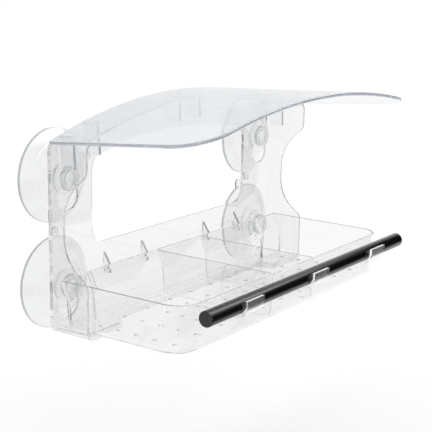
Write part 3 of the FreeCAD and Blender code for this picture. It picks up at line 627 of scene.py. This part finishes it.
class MakePerch(bpy.types.Operator):
    """Make the black perch, a rod with softly rounded ends"""

    bl_idname = "feeder.make_perch"
    bl_label = "Make perch"

    def execute(self, context):
        settings = context.scene.feeder.perch
        low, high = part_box("perch")
        middle = (low + high) / 2
        radius = (high.z - low.z) / 2
        reach = (high.x - low.x) / 2
        turn = settings.end_round
        end_edge = arc_points((radius - turn, reach - turn), turn, 90, 0, count=5)
        # One more ring on each end face and on each half of the rod keeps the faces even.
        end_ring = (0.6 * radius, reach)
        half_way_ring = (radius, 0.5 * reach)
        half = [(0.0, reach), end_ring, *end_edge, half_way_ring, (radius, 0.0)]
        profile = half + [(point_radius, -height) for point_radius, height in reversed(half[:-1])]
        shape = bmesh.new()
        turned(shape, profile, settings.segments,
               lambda side, up, height: (middle.x + height, middle.y + side, middle.z + up))
        mesh = finished_mesh(shape, "perch_rod", sharp_angle=50)
        along_rod = 0.9
        cut_end = mesh.attributes.new("cut_end", "FLOAT", "FACE")
        cut_end.data.foreach_set("value", [float(abs(face.normal.x) > along_rod) for face in mesh.polygons])
        piece = new_piece("perch_rod", mesh, black_plastic_extruded(settings))
        place_piece(piece, "perch", "black_rod", "perch")
        return {"FINISHED"}


# Suction cups


def sphere_middle(first, second):
    """Where on the axis lies the middle of a sphere through two circles, each a radius and a height."""
    spread = first[0] ** 2 - second[0] ** 2
    return (first[1] + second[1]) / 2 + spread / (2 * (first[1] - second[1]))


def dome_points(first, second, settings, count, ring_radii=()):
    """Points over a domed surface between two circles, with any low moulded rings on it."""
    middle = sphere_middle(first, second)
    ball = math.hypot(first[0], first[1] - middle)
    side = 1 if first[1] > middle else -1
    points = []
    for number in range(count + 1):
        radius = first[0] + (second[0] - first[0]) * number / count
        height = middle + side * math.sqrt(ball ** 2 - radius ** 2)
        swell = sum(math.exp(-((radius - ring) / settings.ring_width) ** 2) for ring in ring_radii)
        outward = Vector((radius, height - middle)).normalized() * settings.ring_height * swell
        points.append((radius + outward.x, height + outward.y))
    return points


def cup_profile(settings, button_face, panel_front, panel_back):
    """Half of a cup's section as radius and height, from the button's middle to the hollow's middle."""
    turn = settings.button_round
    button_edge = arc_points((settings.button_radius - turn, button_face + turn), turn, -90, 0, count=4)
    # One more ring on the button's face keeps its faces even.
    button_ring = (0.5 * settings.button_radius, button_face)
    hub_back = (settings.hub_radius, panel_back + settings.hub_height)
    rim_front = (settings.rim_radius, -settings.rim_thickness)
    ring_shares = (0.75, 0.52)
    ring_radii = [share * settings.rim_radius for share in ring_shares]
    dome = dome_points(hub_back, rim_front, settings, count=60, ring_radii=ring_radii)
    seal = (settings.rim_radius - settings.seal_width, 0.0)
    dish = dome_points(seal, (0.0, -settings.dish_depth), settings, count=20)
    return [
        (0.0, button_face),
        button_ring,
        *button_edge,
        (settings.button_radius, panel_front),
        (settings.neck_radius, panel_front),
        (settings.neck_radius, panel_back),
        (settings.hub_radius, panel_back),
        *dome,
        (settings.rim_radius, 0.0),
        *dish,
    ]


def add_tab(shape, front_ring, back_ring, settings):
    """Grow the pull tab out of two faces of a cup's rim."""
    front = [front_ring[number] for number in (-1, 0, 1)]
    back = [back_ring[number] for number in (-1, 0, 1)]
    for number in (0, 1):
        corners = {front[number], front[number + 1], back[number], back[number + 1]}
        wall = next(face for face in front[number].link_faces if set(face.verts) == corners)
        shape.faces.remove(wall)
    half = front[2].co.x
    shoulder = settings.rim_radius + settings.tab_length - half
    outline = arc_points((0.0, shoulder), half, 180, 0, count=10)
    near_face = front[1].co.y
    far_face = near_face + settings.tab_thickness
    near_side = [shape.verts.new((x, near_face, z)) for x, z in outline]
    far_side = [shape.verts.new((x, far_face, z)) for x, z in outline]
    shape.faces.new([*front, *reversed(near_side)])
    shape.faces.new([*back, *reversed(far_side)])
    near_edge = [front[0], *near_side, front[2]]
    far_edge = [back[0], *far_side, back[2]]
    for number in range(len(near_edge) - 1):
        shape.faces.new([near_edge[number], near_edge[number + 1], far_edge[number + 1], far_edge[number]])


def on_outer_wall(rim_radius):
    """A test for the outer wall of a cup's rim, which the eye sees as the cup's outline."""
    rim_share = 0.985
    along_axis = 0.9
    inner = rim_share * rim_radius

    def chosen(face):
        outside = math.hypot(face.center.x, face.center.z) > inner
        return outside and abs(face.normal.y) < along_axis

    return chosen


def one_cup(settings):
    """One cup about the Y axis, its rim on the window plane and its tab at the top."""
    button_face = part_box(CUP_NODES[0])[0].y
    panel_front = button_face + settings.button_height
    panel_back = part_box("housing")[1].y + settings.panel_gap
    profile = cup_profile(settings, button_face, panel_front, panel_back)
    shape = bmesh.new()
    rings = turned(shape, profile, settings.segments, lambda side, up, height: (side, height, up))
    rim = profile.index((settings.rim_radius, 0.0))
    add_tab(shape, rings[rim - 1], rings[rim], settings)
    mesh = finished_mesh(shape, "one_cup", sharp_angle=40)
    mark_rims(mesh, thin=0.008, thick=0.014)
    # Painted shade: all rims keep half their colour, and the outer wall gets the full rim colour as a
    # painted dark outline.
    rework_rims(mesh, lambda face: True, share=0.5)
    rework_rims(mesh, on_outer_wall(settings.rim_radius), share=1.0, least=1.0)
    return bpy.data.objects.new("one_cup", mesh)


def cup_places(settings):
    """A mesh with one point at each cup's middle, and the turn of that cup in radians."""
    # The tab of this cup points up, so its lowest and rightmost points lie on its rim.
    low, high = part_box("suction_cup_lower_right")
    reach_x = high.x - settings.rim_radius
    reach_z = -low.z - settings.rim_radius
    points = []
    for node in CUP_NODES:
        box_low, box_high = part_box(node)
        column = math.copysign(1, box_low.x + box_high.x)
        row = 1 if "upper" in node else -1
        points.append((column * reach_x, 0.0, row * reach_z))
    mesh = bpy.data.meshes.new("cup_places")
    mesh.from_pydata(points, [], [])
    turn = mesh.attributes.new("turn", "FLOAT", "POINT")
    turn.data.foreach_set("value", [math.radians(CUP_TURNS[node]) for node in CUP_NODES])
    return mesh


def cup_tree():
    """Geometry nodes that set a cup on each point, turned about its axis."""
    tree = bpy.data.node_groups.new("cups_on_window", "GeometryNodeTree")
    tree.interface.new_socket("Places", in_out="INPUT", socket_type="NodeSocketGeometry")
    tree.interface.new_socket("Cup", in_out="INPUT", socket_type="NodeSocketObject")
    tree.interface.new_socket("Size", in_out="INPUT", socket_type="NodeSocketFloat")
    tree.interface.new_socket("Material", in_out="INPUT", socket_type="NodeSocketMaterial")
    tree.interface.new_socket("Cups", in_out="OUTPUT", socket_type="NodeSocketGeometry")
    given = add_node(tree, "NodeGroupInput").outputs
    points = add_node(tree, "GeometryNodeMeshToPoints", {}, {"Mesh": given["Places"]})
    cup = add_node(tree, "GeometryNodeObjectInfo", {"transform_space": "ORIGINAL"},
                   {"Object": given["Cup"]})
    turn = add_node(tree, "GeometryNodeInputNamedAttribute", {"data_type": "FLOAT"}, {"Name": "turn"})
    turned_by = add_node(tree, "ShaderNodeCombineXYZ", {}, {"Y": turn.outputs["Attribute"]})
    rotation = add_node(tree, "FunctionNodeEulerToRotation", {}, {"Euler": turned_by.outputs[0]})
    cups = add_node(tree, "GeometryNodeInstanceOnPoints", {},
                    {"Points": points.outputs[0], "Instance": cup.outputs["Geometry"],
                     "Rotation": rotation.outputs[0], "Scale": given["Size"]})
    real = add_node(tree, "GeometryNodeRealizeInstances", {}, {"Geometry": cups.outputs[0]})
    dressed = add_node(tree, "GeometryNodeSetMaterial", {},
                       {"Geometry": real.outputs[0], "Material": given["Material"]})
    add_node(tree, "NodeGroupOutput", {}, {"Cups": dressed.outputs[0]})
    return tree


def evaluated(tree, start, inputs, name):
    """The plain mesh that a geometry node tree makes from a start mesh."""
    carrier = bpy.data.objects.new("carrier", start)
    bpy.context.scene.collection.objects.link(carrier)
    modifier = carrier.modifiers.new("nodes", "NODES")
    modifier.node_group = tree
    for item in tree.interface.items_tree:
        if item.in_out == "INPUT" and item.name in inputs:
            modifier[item.identifier] = inputs[item.name]
    graph = bpy.context.evaluated_depsgraph_get()
    mesh = bpy.data.meshes.new_from_object(carrier.evaluated_get(graph), depsgraph=graph)
    mesh.name = name
    bpy.data.objects.remove(carrier)
    return mesh


class MakeCups(bpy.types.Operator):
    """Make the four clear suction cups with their hubs, buttons and pull tabs"""

    bl_idname = "feeder.make_cups"
    bl_label = "Make suction cups"

    def execute(self, context):
        settings = context.scene.feeder.cups
        material = clear_vinyl_moulded(settings)
        cup = one_cup(settings)
        inputs = {"Cup": cup, "Size": 1.0, "Material": material}
        mesh = evaluated(cup_tree(), cup_places(settings), inputs, "suction_cups")
        bpy.data.objects.remove(cup)
        if len(mesh.polygons) < len(CUP_NODES) * settings.segments:
            raise RuntimeError("the cups were not made")
        piece = new_piece("suction_cups", mesh, material)
        place_piece(piece, "window_cups", "soft_vinyl", *CUP_NODES)
        return {"FINISHED"}


# Stage


def make_floor(settings):
    """A wide matt white floor below the feeder."""
    half = settings.floor_size / 2
    height = CAD_BOX[0][2] - settings.floor_drop
    mesh = bpy.data.meshes.new("floor")
    corners = [(-half, -half, height), (half, -half, height), (half, half, height), (-half, half, height)]
    mesh.from_pydata(corners, [], [(0, 1, 2, 3)])
    floor = new_piece("floor", mesh, matt_white_floor(settings))


def make_mirrored_sheet(name, corners, fade, material):
    """A flat sheet with faded edges, out of view, that shows only where glossy faces mirror it."""
    shape = bmesh.new()
    whole = shape.faces.new([shape.verts.new(corner) for corner in corners])
    whole.normal_update()
    bmesh.ops.inset_region(shape, faces=[whole], thickness=fade, use_boundary=True, use_even_offset=True)
    cover = shape.verts.layers.float.new("cover")
    for vertex in shape.verts:
        vertex[cover] = 0.0 if vertex.is_boundary else 1.0
    mesh = bpy.data.meshes.new(name)
    shape.to_mesh(mesh)
    shape.free()
    sheet = new_piece(name, mesh, material)
    sheet.visible_camera = False
    sheet.visible_diffuse = False
    sheet.visible_transmission = False
    sheet.visible_shadow = False


def make_surroundings(settings):
    """What the rod and the walls mirror: a bright panel above, black card in front and to the right.

    The low card runs past the tall one, and the tall one below the floor, each by its faded edge, so that
    no pale gap shows where they meet.
    """
    above_floor = 0.002
    floor = CAD_BOX[0][2] - settings.floor_drop + above_floor
    left = -0.8
    right = 1.2
    front = -2.0
    back = 0.3
    top = 1.0
    black = matt_black_card(settings)

    past = right + settings.card_fade
    near = settings.card_near
    low_card = [(left, front, floor), (past, front, floor), (past, near, floor), (left, near, floor)]
    make_mirrored_sheet("black_card_front", low_card, settings.card_fade, black)

    below = floor - settings.tall_fade
    far = front - settings.tall_fade
    tall_card = [(right, far, below), (right, back, below), (right, back, top), (right, far, top)]
    make_mirrored_sheet("black_card_right", tall_card, settings.tall_fade, black)

    end = settings.panel_right
    height = settings.panel_height
    fore = settings.panel_front
    aft = settings.panel_back
    panel = [(left, fore, height), (end, fore, height), (end, aft, height), (left, aft, height)]
    make_mirrored_sheet("softbox_above", panel, settings.panel_fade, lit_panel(settings))


def make_world(settings):
    """White surroundings: full white where they are seen, a little less where they light."""
    world = bpy.data.worlds.new("white_studio")
    world.use_nodes = True
    tree = world.node_tree
    tree.nodes.clear()
    strength = add_node(tree, "ShaderNodeMath", {"operation": "MULTIPLY_ADD"},
                        {0: seen_rays(tree), 1: 1 - settings.light_level, 2: settings.light_level})
    white = add_node(tree, "ShaderNodeBackground", {}, {"Color": WHITE, "Strength": strength.outputs[0]})
    add_node(tree, "ShaderNodeOutputWorld", {}, {"Surface": white.outputs[0]})
    bpy.context.scene.world = world


def make_softbox():
    """A weak soft light from the upper left, that faces the feeder."""
    place = Vector((-1.0, -1.0, 1.8))
    light = bpy.data.lights.new("softbox_left", "AREA")
    light.shape = "RECTANGLE"
    light.size = 0.6
    light.size_y = 0.25
    light.energy = 3.0
    lamp = bpy.data.objects.new("softbox_left", light)
    lamp.location = place
    lamp.rotation_euler = (-place).to_track_quat("-Z", "Y").to_euler()
    bpy.context.scene.collection.objects.link(lamp)


def make_camera(settings):
    """The camera, at the photograph's angle and distance."""
    place = (-0.7637, -0.5927, 0.2108)
    yaw = math.radians(54.35)
    pitch = math.radians(14.67)
    roll = math.radians(0.90)
    up = Vector((0, 0, 1))
    level = Vector((math.sin(yaw), math.cos(yaw), 0))
    right = Vector((math.cos(yaw), -math.sin(yaw), 0))
    forward = math.cos(pitch) * level - math.sin(pitch) * up
    above = math.sin(pitch) * level + math.cos(pitch) * up
    across = math.cos(roll) * right + math.sin(roll) * above
    over = math.cos(roll) * above - math.sin(roll) * right
    turn = Matrix((across, over, -forward)).transposed()
    # The photograph is square. The camera looks straight at this pixel of it, not at its middle.
    photo_size = 432
    photo_middle = photo_size / 2
    pixel_across = 199.9
    pixel_down = 249.3
    data = bpy.data.cameras.new("camera")
    data.sensor_width = 36
    data.lens = settings.camera_lens
    data.shift_x = (photo_middle - pixel_across) / photo_size
    data.shift_y = (pixel_down - photo_middle) / photo_size
    data.clip_end = 200
    camera = bpy.data.objects.new("camera", data)
    camera.matrix_world = Matrix.Translation(place) @ turn.to_4x4()
    bpy.context.scene.collection.objects.link(camera)
    bpy.context.scene.camera = camera


class MakeStage(bpy.types.Operator):
    """Make the floor, the soft light, what glossy faces mirror, and the camera"""

    bl_idname = "feeder.make_stage"
    bl_label = "Make stage"

    def execute(self, context):
        settings = context.scene.feeder.stage
        make_floor(settings)
        make_world(settings)
        make_softbox()
        make_surroundings(settings)
        make_camera(settings)
        # Light runs far inside a clear sheet before it leaves, so its path may be long.
        bounces = 100
        context.scene.cycles.max_bounces = bounces
        context.scene.cycles.glossy_bounces = bounces
        context.scene.cycles.transmission_bounces = bounces
        context.scene.view_settings.view_transform = "Standard"
        return {"FINISHED"}


# Panel


class FeederPanel(bpy.types.Panel):
    """Sizes, colours and steps of the feeder"""

    bl_idname = "VIEW3D_PT_feeder"
    bl_label = "Window bird feeder"
    bl_space_type = "VIEW_3D"
    bl_region_type = "UI"
    bl_category = "Feeder"

    def draw(self, context):
        feeder = context.scene.feeder
        for group in (feeder.plastic, feeder.cups, feeder.perch, feeder.stage):
            box = self.layout.box()
            for name in group.bl_rna.properties.keys():
                if name not in ("rna_type", "name"):
                    box.prop(group, name)
        for operator in OPERATORS:
            self.layout.operator(operator.bl_idname)


OPERATORS = (MakeHousing, MakeRoof, MakeTray, MakePerch, MakeCups, MakeStage)
GROUPS = (ClearPlasticSettings, CupSettings, PerchSettings, StageSettings, FeederSettings)


def register():
    """Make the settings, steps and panel known."""
    for item in (*GROUPS, *OPERATORS, FeederPanel):
        bpy.utils.register_class(item)
    bpy.types.Scene.feeder = PointerProperty(type=FeederSettings)


def unregister():
    """Take the settings, steps and panel away again."""
    del bpy.types.Scene.feeder
    for item in reversed((*GROUPS, *OPERATORS, FeederPanel)):
        bpy.utils.unregister_class(item)


def main():
    """Make every piece and the stage."""
    register()
    bpy.ops.feeder.make_housing()
    bpy.ops.feeder.make_roof()
    bpy.ops.feeder.make_tray()
    bpy.ops.feeder.make_perch()
    bpy.ops.feeder.make_cups()
    bpy.ops.feeder.make_stage()


if __name__ == "__main__":
    main()
